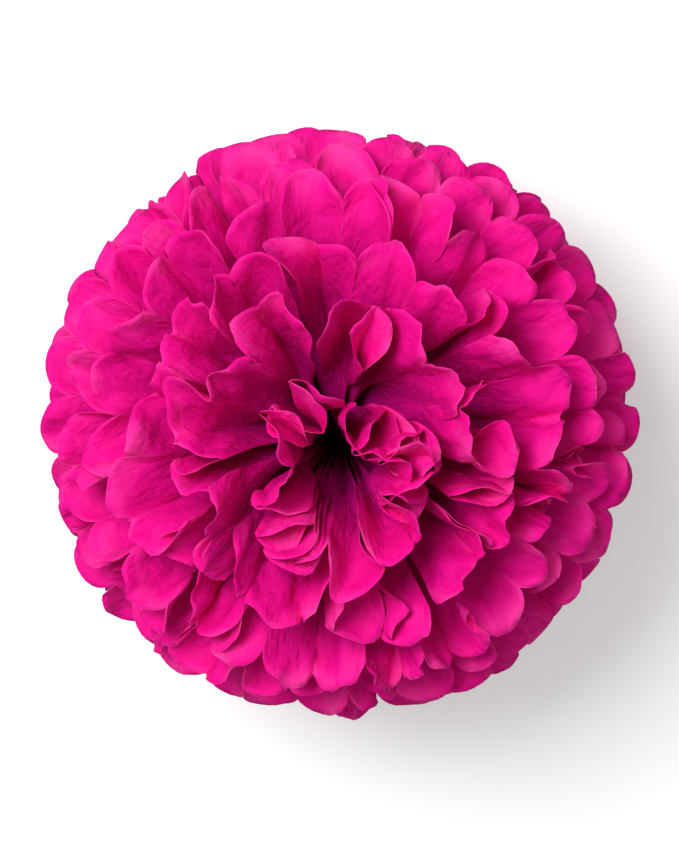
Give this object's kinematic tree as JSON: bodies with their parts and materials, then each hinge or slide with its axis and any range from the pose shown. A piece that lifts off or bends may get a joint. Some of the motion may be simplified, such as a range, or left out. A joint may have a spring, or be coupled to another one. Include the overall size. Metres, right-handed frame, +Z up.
{
  "type": "tissue paper pom pom",
  "caption": "Fluffy ball of pleated, round-tipped tissue sheets gathered by a wire round their middle, lying on a table with its pole up.",
  "frame": {"origin": "on the table, under the middle of the ball", "axes": "+Z up along the ball's poles, from the flattened tips that it lies on to the dark hole at its top; the slits between its two fans lie 25 degrees round from +Y and -Y"},
  "size_m": [0.2523, 0.252, 0.2335],
  "materials": {
    "tissue": "matt, thin, softly creased tissue paper, dyed magenta through",
    "wire": "bare soft binding wire"
  },
  "bodies": {
    "root": {"tissue_sheet_01": "tissue", "tissue_sheet_02": "tissue", "tissue_sheet_03": "tissue", "tissue_sheet_04": "tissue", "tissue_sheet_05": "tissue", "tissue_sheet_06": "tissue", "tissue_sheet_07": "tissue", "tissue_sheet_08": "tissue", "tissue_sheet_09": "tissue", "tissue_sheet_10": "tissue", "tissue_sheet_11": "tissue", "tissue_sheet_12": "tissue", "tie_wire": "wire"}
  },
  "joints": []
}
